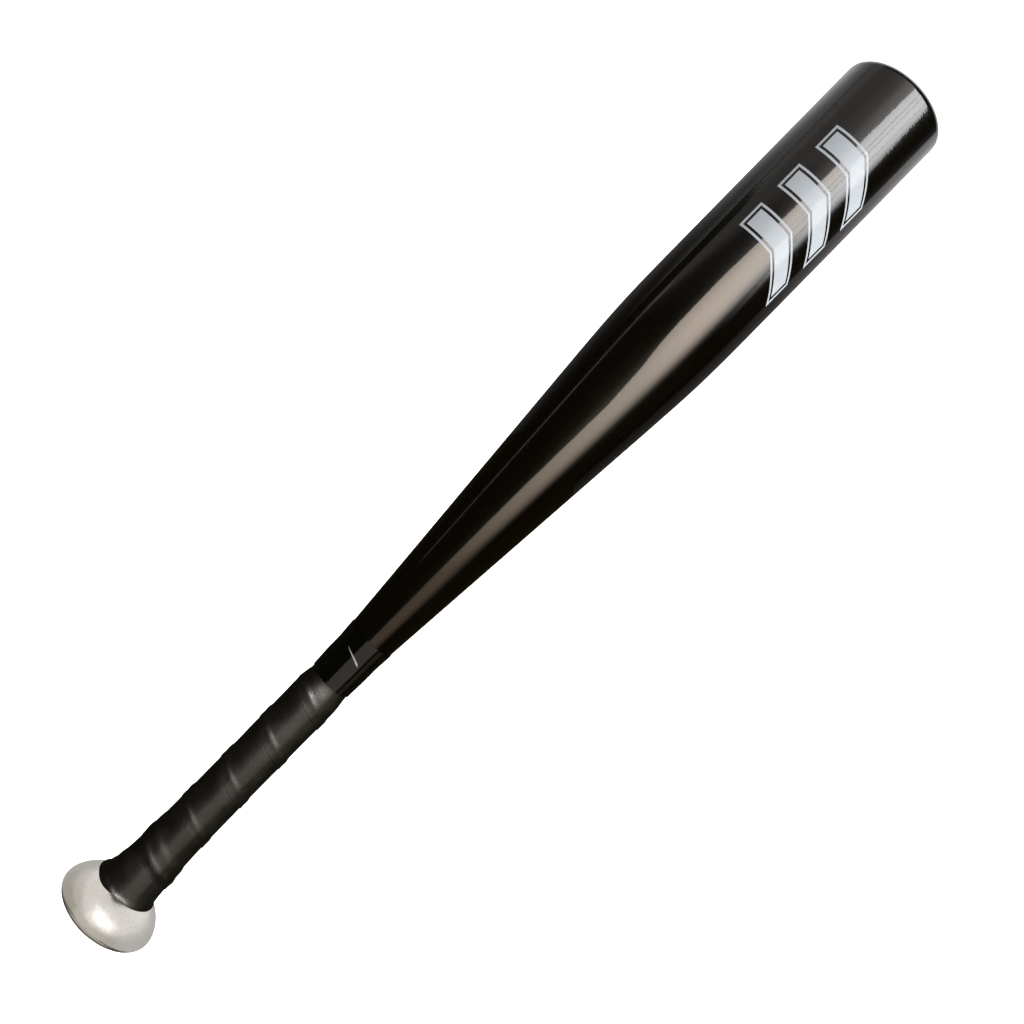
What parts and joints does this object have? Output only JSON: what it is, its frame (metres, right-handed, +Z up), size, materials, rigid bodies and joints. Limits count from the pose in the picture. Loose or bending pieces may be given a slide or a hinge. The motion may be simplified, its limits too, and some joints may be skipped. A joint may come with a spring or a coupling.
{
  "type": "baseball bat",
  "caption": "Short hollow metal baseball bat with a polished mushroom knob, a spirally wound black grip, a long taper and a snap-in end cap.",
  "frame": {"origin": "centre of the flat middle of the knob's end, on the bat's axis", "axes": "+X along the bat's axis from the knob to the barrel, +Z up when the bat lies on a floor"},
  "size_m": [0.537, 0.054, 0.054],
  "materials": {
    "polished_aluminium": "polished",
    "plug_rubber": "matte",
    "weld_bead": "satin",
    "black_paint": "gloss",
    "base_tape": "matte",
    "black_leather": "satin",
    "finishing_tape": "satin",
    "foam": "matte",
    "cap_plastic": "satin",
    "graphic_print": "gloss"
  },
  "bodies": {
    "root": {"knob": "polished_aluminium", "vent_plug": "plug_rubber", "knob_weld": "weld_bead", "bat_tube": "black_paint", "grip_base_tape": "base_tape", "grip_wrap": "black_leather", "finishing_tape": "finishing_tape", "foam_plug": "foam", "end_cap": "cap_plastic"}
  },
  "joints": []
}
